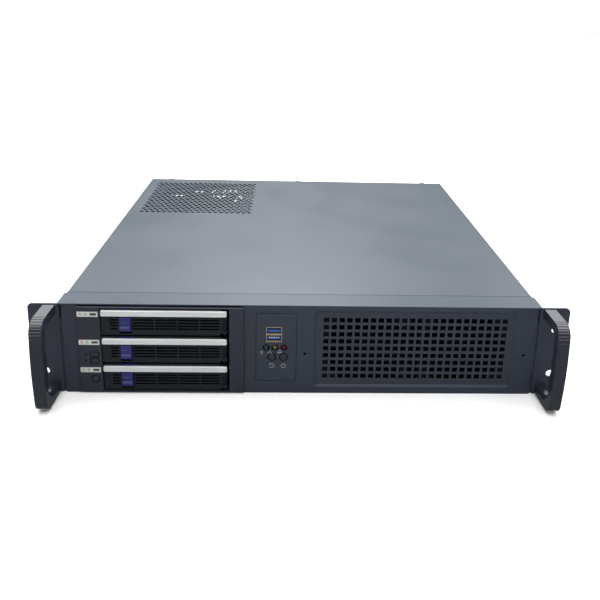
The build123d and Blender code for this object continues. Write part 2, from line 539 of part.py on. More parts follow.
def lever(base):
    """The slotted front that swings out about the pin at its right end."""
    top = base + LEVER_HEIGHT
    face = FRONT + LEVER_FACE
    with BuildPart() as front:
        slab((LEVER_LEFT, SWING_EDGE), (face, LEVER_BACK), (base, top))
        slab((SWING_EDGE, HINGE_X - 2.0), (face, LEVER_BACK), (base + LUG_SPACE, top - LUG_SPACE))
        slab((HINGE_X - 2.0, HINGE_X), (face, HINGE_Y + BARREL_RADIUS), (base + LUG_SPACE, top - LUG_SPACE))
        rod_z(HINGE_X, HINGE_Y, (base + LUG_SPACE, top - LUG_SPACE), BARREL_RADIUS)
        # Rebate behind the face, so the lever is a shell with a return all round.
        slab((LEVER_LEFT + 2, SWING_EDGE - 3.0), (face + 3.4, LEVER_BACK + 1), (base + 2.4, top - 2.4),
             mode=Mode.SUBTRACT)
        slab((CHANNEL_X[0] - 1.6, CHANNEL_X[1] + 1.6), (face + 1, LEVER_BACK), (base + 1.0, top))
        slab(CHANNEL_X, (face - 1, LEVER_BACK - 1.8), (base + 1.4, top + 1), mode=Mode.SUBTRACT)
        slab((-159.4, -154.1), (LEVER_BACK - 4, LEVER_BACK + 1), (base + 17.4, base + 23.8),
             mode=Mode.SUBTRACT)
        for row in range(SLOT_ROWS):
            z = base + SLOT_ROW_BASE + row * SLOT_ROW_PITCH
            row_z = (z - SLOT_ROW_HEIGHT / 2, z + SLOT_ROW_HEIGHT / 2)
            for span in SLOT_SPANS:
                slab(span, (face - 1, LEVER_BACK + 1), row_z, mode=Mode.SUBTRACT)
            # The slots run on as grooves around the barrel.
            slab((HINGE_X - 2.4, HINGE_X + 4), (face - 2, HINGE_Y - 1.5), row_z, mode=Mode.SUBTRACT)
            slab((HINGE_X + 1.4, HINGE_X + 4), (face - 2, HINGE_Y + 4), row_z, mode=Mode.SUBTRACT)
        # Flat on the barrel, so that the bar runs straight to the end.
        slab((SWING_EDGE, HINGE_X + 4), (face - 2, face),
             (base + BAR_Z[0] - 0.1, base + BAR_Z[1] + 0.1), mode=Mode.SUBTRACT)
        rod_z(HINGE_X, HINGE_Y, (base, top), HINGE_PIN_RADIUS + HINGE_CLEARANCE, mode=Mode.SUBTRACT)
    return front


def trim_bar(base):
    """The brushed bar across the lever, with rounded ends."""
    with BuildPart() as bar:
        face = FRONT + LEVER_FACE
        slab(BAR_X, (face - BAR_THICKNESS, face), (base + BAR_Z[0], base + BAR_Z[1]))
        fillet(bar.edges().filter_by(Axis.Y), radius=1.2)
        chamfer(bar.faces().sort_by(Axis.Y)[0].edges(), length=0.35)
    return bar


def latch(base):
    """The thumb latch: it passes behind the bar and is pressed down to free the lever."""
    face = FRONT + LEVER_FACE
    with BuildPart() as slider:
        slab(LATCH_X, (face + 0.4, face + 5.4), (base + 16.5, base + LEVER_HEIGHT - 0.5))
        slab(LATCH_X, (face - 0.6, face + 5.4), (base + 3.8, base + 17.5))
        rod_x(face - 0.4, base + 6.6, LATCH_X, 0.9)
        rod_x(face - 0.5, base + 10.6, (LATCH_X[0] + 1.5, LATCH_X[1] - 1.5), 0.5)
        # The tooth reaches through the lever into the tray's window.
        slab((-158.6, -154.9), (face + 5.4, TRAY_WALL[0] + 1.4), (base + 19.8, base + 23.0))
    return slider


for bay in BAYS:
    base = bay_base(bay)
    save(tray(base), f"tray_{bay}")
    save(lever(base), f"lever_{bay}")
    save(trim_bar(base), f"trim_bar_{bay}")
    save(latch(base), f"latch_{bay}")
    with BuildPart() as lever_pin:
        rod_z(HINGE_X, HINGE_Y, (base + 0.3, base + LEVER_HEIGHT - 0.3), HINGE_PIN_RADIUS)
    save(lever_pin, f"lever_pin_{bay}")
    with BuildPart() as drive:
        slab((BAY_CENTRE - DRIVE_WIDTH / 2, BAY_CENTRE + DRIVE_WIDTH / 2),
             (DRIVE_FRONT, DRIVE_FRONT + DRIVE_LENGTH),
             (base + DRIVE_LIFT, base + DRIVE_LIFT + DRIVE_HEIGHT))
        fillet(drive.edges().filter_by(Axis.Z), radius=3.0)
        with Locations((BAY_CENTRE, DRIVE_FRONT + 62, base + DRIVE_LIFT + DRIVE_HEIGHT)):
            Cylinder(44, 1.2, mode=Mode.SUBTRACT)
    save(drive, f"drive_{bay}")

# ---- Front control plate -----------------------------------------------------------------
USB_X = (-32.6, -18.4)
USB_Z = ((59.4, 66.8), (52.0, 59.4))
USB_SHELL = 0.6
LED_Z = 46.2
LED_X = {"green": -32.5, "yellow": -24.5, "red": -16.4}
LED_RADIUS = 2.4
LED_SETBACK = 0.3
BUTTON_RADIUS = 3.1
BUTTON_X = {"reset": -27.3, "power": -16.7}
BUTTON_Z = 37.1
BOARD_Y = FRONT + 14.0

with BuildPart() as control_plate:
    with BuildSketch(facing_front(FRONT + SHEET)):
        with Locations(((PLATE_X[0] + PLATE_X[1]) / 2, (PLATE_Z[0] + PLATE_Z[1]) / 2)):
            RectangleRounded(PLATE_X[1] - PLATE_X[0], PLATE_Z[1] - PLATE_Z[0], radius=2.0)
    extrude(amount=SHEET)
    slab((PLATE_X[0] - 2, PLATE_X[1] + 2), (FRONT + SHEET, FRONT + SHEET + 1.2),
         (PLATE_Z[0] - 2, PLATE_Z[1] + 2))
    through = (FRONT - 1, FRONT + SHEET + 3)
    slab((USB_X[0] - 0.3, USB_X[1] + 0.3), through, (USB_Z[1][0] - 0.3, USB_Z[0][1] + 0.3),
         mode=Mode.SUBTRACT)
    for x in LED_X.values():
        rod_y(x, LED_Z, through, LED_RADIUS + 0.3, mode=Mode.SUBTRACT)
    for x in BUTTON_X.values():
        rod_y(x, BUTTON_Z, through, BUTTON_RADIUS + BUTTON_CLEARANCE, mode=Mode.SUBTRACT)
save(control_plate, "control_plate")

with BuildPart() as usb_shells:
    for low, high in USB_Z:
        slab(USB_X, (FRONT - 0.2, BOARD_Y), (low, high))
        slab((USB_X[0] + USB_SHELL, USB_X[1] - USB_SHELL), (FRONT - 1, BOARD_Y - 1),
             (low + USB_SHELL, high - USB_SHELL), mode=Mode.SUBTRACT)
save(usb_shells, "usb_shells")

with BuildPart() as usb_tongues:
    for low, high in USB_Z:
        slab((USB_X[0] + USB_SHELL, USB_X[1] - USB_SHELL), (BOARD_Y - 3, BOARD_Y - 1),
             (low + USB_SHELL, high - USB_SHELL))
        slab((USB_X[0] + 1.4, USB_X[1] - 1.4), (FRONT + 1.6, BOARD_Y - 1), (low + 2.0, low + 3.9))
save(usb_tongues, "usb_tongues")

for colour, x in LED_X.items():
    with BuildPart() as led:
        rod_y(x, LED_Z, (FRONT + LED_SETBACK, BOARD_Y), LED_RADIUS)
        fillet(led.edges().filter_by(GeomType.CIRCLE).sort_by(Axis.Y)[0], radius=LED_RADIUS - 0.3)
    save(led, f"led_{colour}")

for use, x in BUTTON_X.items():
    with BuildPart() as button:
        rod_y(x, BUTTON_Z, (FRONT - 0.7, FRONT + 10.0), BUTTON_RADIUS)
        rod_y(x, BUTTON_Z, (FRONT + SHEET + 1.6, FRONT + SHEET + 3.0), BUTTON_RADIUS + 1.0)
        fillet(button.edges().filter_by(GeomType.CIRCLE).sort_by(Axis.Y)[0], radius=0.5)
    save(button, f"{use}_button")

with BuildPart() as front_io_board:
    slab((PLATE_X[0] + 1.3, PLATE_X[1] - 1.3), (BOARD_Y, BOARD_Y + 1.6), (PLATE_Z[0] + 4, PLATE_Z[1] - 4))
    for x in BUTTON_X.values():
        slab((x - 3, x + 3), (FRONT + 11.4, BOARD_Y), (BUTTON_Z - 3, BUTTON_Z + 3))
    slab((PLATE_X[0] + 6, PLATE_X[1] - 10), (BOARD_Y + 1.6, BOARD_Y + 8), (20, 28))
save(front_io_board, "front_io_board")

# ---- Fans -------------------------------------------------------------------------------
FAN_X = {"left": GRILLE_CENTRE[0] - 44.0, "right": GRILLE_CENTRE[0] + 44.0}
FAN_Z = 44.2
FAN_FRONT = FRONT + SHEET + EMBOSS_DEPTH
FAN_BORE = 38.4
BLADES = 7


def fan_blades(x, y, z, thickness, hub, tip, count):
    """A hub with pitched blades, turning about Y."""
    rod_y(x, z, (y, y + thickness), hub)
    reach = (hub + tip) / 2
    for blade in range(count):
        turn = 360 * blade / count
        place = Location((x, y + thickness / 2, z)) * Location((0, 0, 0), (0, turn, 0))
        with Locations(place * Location((0, 0, reach), (0, 0, 38))):
            Box(2.0, thickness * 0.95, tip - hub + 3)


for place, x in FAN_X.items():
    with BuildPart() as fan_frame:
        slab((x - FAN_SIZE / 2, x + FAN_SIZE / 2), (FAN_FRONT, FAN_FRONT + FAN_THICKNESS),
             (FAN_Z - FAN_SIZE / 2, FAN_Z + FAN_SIZE / 2))
        fillet(fan_frame.edges().filter_by(Axis.Y), radius=3.5)
        rod_y(x, FAN_Z, (FAN_FRONT - 1, FAN_FRONT + FAN_THICKNESS + 1), FAN_BORE, mode=Mode.SUBTRACT)
        # Four struts carry the motor at the back.
        for turn in (45, 135):
            with Locations(Location((x, FAN_FRONT + FAN_THICKNESS - 1.5, FAN_Z), (0, turn, 0))):
                Box(4.0, 3.0, 2 * FAN_BORE + 1)
        rod_y(x, FAN_Z, (FAN_FRONT + FAN_THICKNESS - 3, FAN_FRONT + FAN_THICKNESS), 17.0)
        corners = GridLocations(71.5, 71.5, 2, 2).local_locations
        for corner in corners:
            rod_y(x + corner.position.X, FAN_Z + corner.position.Y,
                  (FAN_FRONT - 1, FAN_FRONT + FAN_THICKNESS + 1), 2.1, mode=Mode.SUBTRACT)
    save(fan_frame, f"fan_frame_{place}")
    with BuildPart() as fan_rotor:
        fan_blades(x, FAN_FRONT + 2.0, FAN_Z, 18.5, 18.0, 35.0, BLADES)
    save(fan_rotor, f"fan_rotor_{place}")

# ---- Power supply ------------------------------------------------------------------------
PSU_SHEET = 1.0
PSU_FAN_X = (PSU_X[0] + PSU_X[1]) / 2
PSU_FAN_Y = (PSU_Y[0] + PSU_Y[1]) / 2
INLET_X = -176.0
INLET_Z = 30.0
SWITCH_X = -176.0
SWITCH_Z = 58.0

with BuildPart() as psu_case:
    slab(PSU_X, PSU_Y, PSU_Z)
    fillet(psu_case.edges().filter_by(Axis.Y).group_by(Axis.Z)[-1], radius=1.0)
    slab((PSU_X[0] + PSU_SHEET, PSU_X[1] - PSU_SHEET), (PSU_Y[0] + PSU_SHEET, PSU_Y[1] - PSU_SHEET),
         (PSU_Z[0] + PSU_SHEET, PSU_Z[1] - PSU_SHEET), mode=Mode.SUBTRACT)
    rod_z(PSU_FAN_X, PSU_FAN_Y, (PSU_Z[1] - 3, PSU_Z[1] + 1), PSU_FAN_RADIUS, mode=Mode.SUBTRACT)
    # The fan's motor hangs on a cross inside the case.
    rod_z(PSU_FAN_X, PSU_FAN_Y, (56.0, 60.0), 20.0)
    for turn in (0, 90):
        with Locations(Location((PSU_FAN_X, PSU_FAN_Y, 58.0), (0, 0, turn))):
            Box(2 * 60.0, 4.0, 3.0)
    with Locations((PSU_FAN_X, PSU_FAN_Y, (56.5 + PSU_Z[1] - PSU_SHEET) / 2)):
        with PolarLocations(59.0, 4):
            Box(2.0, 8.0, PSU_Z[1] - PSU_SHEET - 56.5)
    slab((INLET_X - 13.7, INLET_X + 13.7), (PSU_Y[1] - 3, PSU_Y[1] + 1), (INLET_Z - 10, INLET_Z + 10),
         mode=Mode.SUBTRACT)
    slab((SWITCH_X - 9.6, SWITCH_X + 9.6), (PSU_Y[1] - 3, PSU_Y[1] + 1), (SWITCH_Z - 6.4, SWITCH_Z + 6.4),
         mode=Mode.SUBTRACT)
    with BuildSketch(facing_front(PSU_Y[1])):
        with Locations((-108.0, 43.0)):
            with GridLocations(8.0, 8.0, 11, 8):
                RegularPolygon(3.3, 6)
    extrude(amount=PSU_SHEET, mode=Mode.SUBTRACT)
save(psu_case, "psu_case")

# Wire guard: rings on four spokes, over the fan opening.
GUARD_WIRE = 0.7
GUARD_Z = PSU_Z[1] + GUARD_WIRE
with BuildPart() as psu_fan_guard:
    for radius in (14.0, 25.0, 36.0, 47.0, 57.5):
        with Locations((PSU_FAN_X, PSU_FAN_Y, GUARD_Z)):
            Torus(radius, GUARD_WIRE)
    for turn in (45, 135):
        with Locations(Location((PSU_FAN_X, PSU_FAN_Y, GUARD_Z), (0, 0, turn))):
            Box(2 * 63.0, 1.2, 1.2)
save(psu_fan_guard, "psu_fan_guard")

with BuildPart() as psu_fan_rotor:
    rod_z(PSU_FAN_X, PSU_FAN_Y, (62.0, 80.0), 22.0)
    for blade in range(9):
        turn = 360 * blade / 9
        place = Location((PSU_FAN_X, PSU_FAN_Y, 71.0)) * Location((0, 0, 0), (0, 0, turn))
        with Locations(place * Location((38.0, 0, 0), (40, 0, 0))):
            Box(35.0, 2.0, 17.0)
save(psu_fan_rotor, "psu_fan_rotor")

# C14 inlet: a socket with three blades.
with BuildPart() as power_inlet:
    slab((INLET_X - 15.0, INLET_X + 15.0), (PSU_Y[1], PSU_Y[1] + 1.4), (INLET_Z - 11.5, INLET_Z + 11.5))
    slab((INLET_X - 13.5, INLET_X + 13.5), (PSU_Y[1] - 18, PSU_Y[1]), (INLET_Z - 9.75, INLET_Z + 9.75))
    inlet_corners = power_inlet.edges().filter_by(Axis.Y)
    inlet_corners = inlet_corners.filter_by_position(Axis.Z, INLET_Z + 9, INLET_Z + 10)
    chamfer(inlet_corners, length=4.0)
    slab((INLET_X - 12.0, INLET_X + 12.0), (PSU_Y[1] - 15, PSU_Y[1] + 3), (INLET_Z - 8.0, INLET_Z + 5.0),
         mode=Mode.SUBTRACT)
    slab((INLET_X - 8.5, INLET_X + 8.5), (PSU_Y[1] - 15, PSU_Y[1] + 3), (INLET_Z + 4.0, INLET_Z + 8.0),
         mode=Mode.SUBTRACT)
    for dx, dz in ((-7.0, -3.5), (7.0, -3.5), (0.0, 2.5)):
        slab((INLET_X + dx - 1.0, INLET_X + dx + 1.0), (PSU_Y[1] - 15.5, PSU_Y[1] - 2),
             (INLET_Z + dz - 2.0, INLET_Z + dz + 2.0))
save(power_inlet, "power_inlet")

# Rocker switch: a short bar that tips about an X axis.
with BuildPart() as power_switch:
    rod_x(PSU_Y[1] - 3.2, SWITCH_Z, (SWITCH_X - 8.8, SWITCH_X + 8.8), 4.6)
    slab((SWITCH_X - 8.8, SWITCH_X + 8.8), (PSU_Y[1] - 3.2, PSU_Y[1] + 1.6),
         (SWITCH_Z - 3.4, SWITCH_Z + 3.4))
save(power_switch, "power_switch")

# ---- Electronics ---------------------------------------------------------------------------
BOARD_X = (-36.0, 208.0)
BOARD_DEPTH = (REAR_FACE - SHEET - 245.0, REAR_FACE - SHEET - 1.0)
BOARD_Z = 8.6
# Each port's low X, high X and top.
PORTS = ((52, 66, 42), (72, 108, 25), (114, 130, 34), (136, 152, 34), (158, 196, 22))
with BuildPart() as mainboard:
    slab(BOARD_X, BOARD_DEPTH, (BOARD_Z, BOARD_Z + 1.6))
    slab((60.0, 78.0), (BOARD_DEPTH[0] + 6, BOARD_DEPTH[0] + 18), (BOARD_Z + 1.6, BOARD_Z + 12))
    for slot in range(SLOT_COUNT):
        x = SLOT_X - slot * SLOT_PITCH
        slab((x - 3.7, x + 3.7), (BOARD_DEPTH[1] - 130, BOARD_DEPTH[1] - 45),
             (BOARD_Z + 1.6, BOARD_Z + 12.6))
save(mainboard, "mainboard")

with BuildPart() as standoffs:
    for x in (BOARD_X[0] + 10, 85.0, BOARD_X[1] - 10):
        for y in (BOARD_DEPTH[0] + 12, BOARD_DEPTH[0] + 120, BOARD_DEPTH[1] - 12):
            rod_z(x, y, (SHEET, BOARD_Z), 2.8)
save(standoffs, "standoffs")

# The I/O shield and the blank slot covers close the rear openings from inside.
with BuildPart() as rear_plates:
    slab((IO_X[0] + 0.3, IO_X[1] - 0.3), (REAR_FACE - SHEET, REAR_FACE - 0.2),
         (IO_Z[0] + 0.3, IO_Z[1] - 0.3))
    for low, high, top in PORTS:
        slab((low, high), (REAR - 5, REAR), (BOARD_Z + 3, top), mode=Mode.SUBTRACT)
    for slot in range(SLOT_COUNT):
        x = SLOT_X - slot * SLOT_PITCH
        slab((x - 9.2, x + 9.2), (REAR_FACE - SHEET - 0.9, REAR_FACE - SHEET),
             (SLOT_Z[0] - 2, SLOT_Z[1] + 1.5))
save(rear_plates, "rear_plates")

with BuildPart() as rear_ports:
    for low, high, top in PORTS:
        slab((low + 0.2, high - 0.2), (REAR - 20, REAR_FACE), (BOARD_Z + 3.2, top - 0.2))
        slab((low + 1.4, high - 1.4), (REAR_FACE - 3.6, REAR), (BOARD_Z + 4.4, top - 1.4),
             mode=Mode.SUBTRACT)
        slab((low + 1, high - 1), (REAR - 20, REAR - 15), (BOARD_Z + 1.6, BOARD_Z + 3.2))
save(rear_ports, "rear_ports")

HEATSINK_X = 128.0
HEATSINK_Y = BOARD_DEPTH[0] + 120.0
FINS = 22
with BuildPart() as heatsink:
    length = (HEATSINK_Y - 40, HEATSINK_Y + 40)
    slab((HEATSINK_X - 42, HEATSINK_X + 42), length, (BOARD_Z + 3.0, BOARD_Z + 8.0))
    slab((HEATSINK_X - 19, HEATSINK_X + 19), (HEATSINK_Y - 19, HEATSINK_Y + 19),
         (BOARD_Z + 1.6, BOARD_Z + 3.0))
    for fin in range(FINS):
        x = HEATSINK_X - 41.5 + fin * 83.0 / (FINS - 1)
        slab((x - 0.5, x + 0.5), length, (BOARD_Z + 8.0, BOARD_Z + 38.0))
save(heatsink, "heatsink")

with BuildPart() as memory_modules:
    for x in (182.0, 191.0):
        slab((x - 2.6, x + 2.6), (BOARD_DEPTH[0] + 30, BOARD_DEPTH[0] + 170),
             (BOARD_Z + 1.6, BOARD_Z + 8.0))
        slab((x - 0.65, x + 0.65), (BOARD_DEPTH[0] + 33.3, BOARD_DEPTH[0] + 166.7),
             (BOARD_Z + 8.0, BOARD_Z + 32.0))
save(memory_modules, "memory_modules")
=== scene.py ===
import json
import math
from functools import partial
import bmesh
import bpy
from mathutils import Matrix, Vector


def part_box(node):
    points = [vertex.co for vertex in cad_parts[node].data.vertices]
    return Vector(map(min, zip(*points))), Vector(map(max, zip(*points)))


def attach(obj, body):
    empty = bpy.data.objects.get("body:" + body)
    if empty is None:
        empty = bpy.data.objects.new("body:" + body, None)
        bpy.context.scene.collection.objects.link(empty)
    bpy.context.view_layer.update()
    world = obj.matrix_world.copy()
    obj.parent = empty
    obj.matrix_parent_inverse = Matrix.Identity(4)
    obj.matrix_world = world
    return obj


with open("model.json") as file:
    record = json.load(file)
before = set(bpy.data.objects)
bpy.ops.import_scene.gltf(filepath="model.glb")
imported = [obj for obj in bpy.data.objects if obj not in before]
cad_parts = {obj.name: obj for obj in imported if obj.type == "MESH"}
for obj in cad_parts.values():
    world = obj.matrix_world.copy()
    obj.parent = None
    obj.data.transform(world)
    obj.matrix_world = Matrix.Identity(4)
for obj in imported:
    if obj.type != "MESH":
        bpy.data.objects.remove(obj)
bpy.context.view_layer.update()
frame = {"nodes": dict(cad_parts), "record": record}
nodes = frame["nodes"]
MM = 0.001

# ---- Places, all taken from the frame ------------------------------------------
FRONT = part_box("front_panel")[0][1]        # the front plane
MODULE_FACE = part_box("cage_bezel")[0][1]   # the drive module stands a little proud of it
BAYS = (1, 2, 3)


# ---- Camera ----------------------------------------------------------------------
CAMERA_PITCH = 14.85        # degrees down from level
CAMERA_YAW = -2.262         # degrees about +Z, from straight at the front
CAMERA_ROLL = -1.615        # degrees about the line of sight
CAMERA_PLACE = (-0.01734, FRONT - 0.5187, 0.35157)
CAMERA_LENS = 38.54         # mm, on a 36 mm wide sensor
CAMERA_SHIFT = (-0.01775, -0.2191)


def make_camera():
    """A view from the front and above, almost on the centre line."""
    pitch, yaw, roll = (math.radians(angle) for angle in (CAMERA_PITCH, CAMERA_YAW, CAMERA_ROLL))
    right = Vector((math.cos(yaw), math.sin(yaw), 0))
    ahead = Vector((-math.sin(yaw), math.cos(yaw), 0))
    up = Vector((0, 0, 1))
    look = math.cos(pitch) * ahead - math.sin(pitch) * up
    down = -(math.cos(pitch) * up + math.sin(pitch) * ahead)
    right, down = (math.cos(roll) * right + math.sin(roll) * down,
                   -math.sin(roll) * right + math.cos(roll) * down)
    data = bpy.data.cameras.new("camera")
    data.sensor_width = 36.0
    data.lens = CAMERA_LENS
    data.shift_x, data.shift_y = CAMERA_SHIFT
    data.clip_start = 0.01
    camera = bpy.data.objects.new("camera", data)
    bpy.context.scene.collection.objects.link(camera)
    place = Matrix((right, -down, -look)).transposed().to_4x4()
    place.translation = Vector(CAMERA_PLACE)
    camera.matrix_world = place
    bpy.context.scene.camera = camera


def area_light(name, place, target, size, radiance, glossy=True):
    """A rectangular panel that the camera can't see.

    radiance is its brightness, where 1 is paper white; glossy is whether reflections show it.
    """
    data = bpy.data.lights.new(name, "AREA")
    data.shape = "RECTANGLE"
    data.size, data.size_y = size
    data.energy = radiance * math.pi * size[0] * size[1]
    light = bpy.data.objects.new(name, data)
    bpy.context.scene.collection.objects.link(light)
    light.location = place
    light.rotation_euler = (Vector(target) - Vector(place)).to_track_quat("-Z", "Y").to_euler()
    light.visible_camera = False
    light.visible_glossy = glossy


def make_light():
    """Soft studio light: a dim surround that looks white from the camera, and large pale panels."""
    world = bpy.data.worlds.new("surround")
    world.use_nodes = True
    tree = world.node_tree
    background = tree.nodes["Background"]
    background.inputs["Color"].default_value = (0.96, 0.98, 1.0, 1)
    rays = tree.nodes.new("ShaderNodeLightPath")
    strength = tree.nodes.new("ShaderNodeMapRange")
    strength.inputs["To Min"].default_value = 0.16
    strength.inputs["To Max"].default_value = 1.05
    tree.links.new(rays.outputs["Is Camera Ray"], strength.inputs["Value"])
    tree.links.new(strength.outputs["Result"], background.inputs["Strength"])
    bpy.context.scene.world = world
    bpy.context.scene.view_settings.view_transform = "Standard"
    area_light("panel_above", (0, -0.1, 2.2), (0, -0.1, 0), (3.4, 3.6), 3.3)
    area_light("panel_behind", (-0.05, 1.9, 1.95), (0, 0.0, 0.1), (1.0, 1.2), 7.6)
    for side in (-1, 1):
        area_light("panel_side", (side * 1.25, 1.9, 1.35), (side * 0.22, -0.2, 0.1), (0.6, 0.8), 2.3)
    area_light("panel_front", (0, -2.6, 1.0), (0, -0.1, 0.05), (1.6, 0.8), 0.4)
    # Keeps the floor white far behind the case without showing in its reflections.
    area_light("panel_far_floor", (0, 4.6, 2.4), (0, 4.6, 0), (10.0, 6.5), 2.6, glossy=False)


# ---- Materials --------------------------------------------------------------------
class Surface:
    """Builds one procedural material on object coordinates, which are metres here."""

    def __init__(self, name):
        self.material = bpy.data.materials.new(name)
        self.material.use_nodes = True
        self.tree = self.material.node_tree
        self.shader = self.tree.nodes["Principled BSDF"]
        self.coords = self.tree.nodes.new("ShaderNodeTexCoord").outputs["Object"]
        self.normal = None

    def link(self, source, target):
        self.tree.links.new(source, target)

    def noise(self, scale, detail=3.0, stretch=(1, 1, 1), offset=(0, 0, 0), distortion=0.0):
        mapping = self.tree.nodes.new("ShaderNodeMapping")
        mapping.inputs["Scale"].default_value = stretch
        mapping.inputs["Location"].default_value = offset
        self.link(self.coords, mapping.inputs["Vector"])
        noise = self.tree.nodes.new("ShaderNodeTexNoise")
        noise.inputs["Scale"].default_value = scale
        noise.inputs["Detail"].default_value = detail
        noise.inputs["Distortion"].default_value = distortion
        self.link(mapping.outputs["Vector"], noise.inputs["Vector"])
        return noise.outputs["Fac"]

    def remap(self, value, low, high, to_low, to_high):
        ranger = self.tree.nodes.new("ShaderNodeMapRange")
        numbers = {"From Min": low, "From Max": high, "To Min": to_low, "To Max": to_high}
        for socket, number in numbers.items():
            ranger.inputs[socket].default_value = number
        self.link(value, ranger.inputs["Value"])
        return ranger.outputs["Result"]

    def mix(self, factor, first, second):
        """first and second are colours or sockets."""
        mixer = self.tree.nodes.new("ShaderNodeMix")
        mixer.data_type = "RGBA"
        self.link(factor, mixer.inputs["Factor"])
        for socket, value in (("A", first), ("B", second)):
            target = [item for item in mixer.inputs if item.name == socket and item.type == "RGBA"][0]
            if isinstance(value, bpy.types.NodeSocket):
                self.link(value, target)
            else:
                target.default_value = (*value, 1)
        return [item for item in mixer.outputs if item.type == "RGBA"][0]

    def bump(self, height, strength, distance):
        bump = self.tree.nodes.new("ShaderNodeBump")
        bump.inputs["Strength"].default_value = strength
        bump.inputs["Distance"].default_value = distance
        self.link(height, bump.inputs["Height"])
        if self.normal is not None:
            self.link(self.normal, bump.inputs["Normal"])
        self.normal = bump.outputs["Normal"]

    def done(self, colour, roughness, **sockets):
        """colour and roughness are sockets; the rest are plain shader values."""
        self.link(colour, self.shader.inputs["Base Color"])
        self.link(roughness, self.shader.inputs["Roughness"])
        if self.normal is not None:
            self.link(self.normal, self.shader.inputs["Normal"])
        for name, value in sockets.items():
            self.shader.inputs[name.replace("_", " ")].default_value = value
        return self.material


def shade(colour, factor):
    return tuple(min(1.0, channel * factor) for channel in colour)


def moulded(name, colour, rough=0.5, grain=1400.0, depth=0.00004, spread=0.12, **sockets):
    """Moulded plastic: a fine grain, faint cloudy variation and a few smoother patches."""
    surface = Surface(name)
    cloud = surface.remap(surface.noise(22.0, 4.0), 0.3, 0.7, 0.0, 1.0)
    tone = surface.mix(cloud, shade(colour, 0.88), shade(colour, 1.1))
    worn = surface.noise(9.0, 6.0, offset=(3, 1, 2))
    worn = surface.remap(worn, 0.35, 0.7, rough - spread / 2, rough + spread / 2)
    surface.bump(surface.noise(grain, 2.0), 0.35, depth)
    return surface.done(tone, worn, **sockets)


def coated(name, colour, rough=0.5, scuffs=0.0, painted_sheen_colour=None, **sockets):
    """Powder-coated sheet: orange peel, a slow drift of colour and, if wanted, light scuffs.

    painted_sheen_colour replaces the colour on faces that look up. It makes up for the light, which leaves
    them too dark with the paint's one colour; it is not a second paint, or dust.
    """
    surface = Surface(name)
    drift = surface.remap(surface.noise(5.0, 3.0), 0.3, 0.7, 0.0, 1.0)
    tone = surface.mix(drift, shade(colour, 0.96), shade(colour, 1.04))
    # Painted highlight: faces that look up are lightened to stand in for the sheen of the light on them.
    if painted_sheen_colour:
        geometry = surface.tree.nodes.new("ShaderNodeNewGeometry")
        facing = surface.tree.nodes.new("ShaderNodeSeparateXYZ")
        surface.link(geometry.outputs["Normal"], facing.inputs["Vector"])
        painted_sheen_mask = surface.remap(facing.outputs["Z"], 0.6, 1.0, 0.0, 1.0)
        tone = surface.mix(painted_sheen_mask, tone, painted_sheen_colour)
    speck = surface.remap(surface.noise(2600.0, 1.0), 0.62, 0.75, 0.0, 0.35)
    tone = surface.mix(speck, tone, shade(colour, 1.25))
    rough_map = surface.noise(14.0, 5.0, offset=(5, 2, 1))
    rough_map = surface.remap(rough_map, 0.3, 0.7, rough - 0.05, rough + 0.06)
    if scuffs:
        fine = surface.noise(70.0, 6.0, (1.0, 14.0, 1.0), (0.3, 0.1, 0), 1.2)
        across = surface.noise(60.0, 5.0, (12.0, 1.0, 1.0), (1.3, 0.7, 0), 0.8)
        where = surface.remap(surface.noise(7.0, 2.0, offset=(7, 3, 0)), 0.48, 0.66, 0.0, 1.0)
        for lines in (fine, across):
            line = surface.remap(lines, 0.655, 0.69, 0.0, scuffs)
            limit = surface.tree.nodes.new("ShaderNodeMath")
            limit.operation = "MULTIPLY"
            surface.link(line, limit.inputs[0])
            surface.link(where, limit.inputs[1])
            tone = surface.mix(limit.outputs["Value"], tone, shade(colour, 1.9))
    surface.bump(surface.noise(1100.0, 2.0), 0.25, 0.00004)
    return surface.done(tone, rough_map, **sockets)


def brushed(name, colour, rough=0.35, stretch=(1, 60, 60), metal=1.0, **sockets):
    """Metal with fine lines running along the axis whose stretch is smallest."""
    surface = Surface(name)
    lines = surface.noise(60.0, 5.0, stretch)
    tone = surface.mix(surface.remap(lines, 0.3, 0.7, 0.0, 1.0), shade(colour, 0.86), shade(colour, 1.1))
    rough_map = surface.noise(45.0, 4.0, stretch, (2, 1, 4))
    rough_map = surface.remap(rough_map, 0.3, 0.7, rough - 0.07, rough + 0.1)
    surface.bump(lines, 0.2, 0.00003)
    return surface.done(tone, rough_map, Metallic=metal, **sockets)


def galvanised(name, colour, rough=0.38, **sockets):
    """Zinc-plated sheet: soft spangle and a few dull patches."""
    surface = Surface(name)
    cells = surface.tree.nodes.new("ShaderNodeTexVoronoi")
    cells.inputs["Scale"].default_value = 160.0
    surface.link(surface.coords, cells.inputs["Vector"])
    grey = surface.tree.nodes.new("ShaderNodeRGBToBW")
    surface.link(cells.outputs["Color"], grey.inputs["Color"])
    tone = surface.mix(grey.outputs["Val"], shade(colour, 0.85), shade(colour, 1.08))
    rough_map = surface.remap(surface.noise(30.0, 5.0), 0.3, 0.7, rough - 0.1, rough + 0.12)
    surface.bump(surface.noise(500.0, 3.0), 0.15, 0.00003)
    return surface.done(tone, rough_map, Metallic=1.0, **sockets)


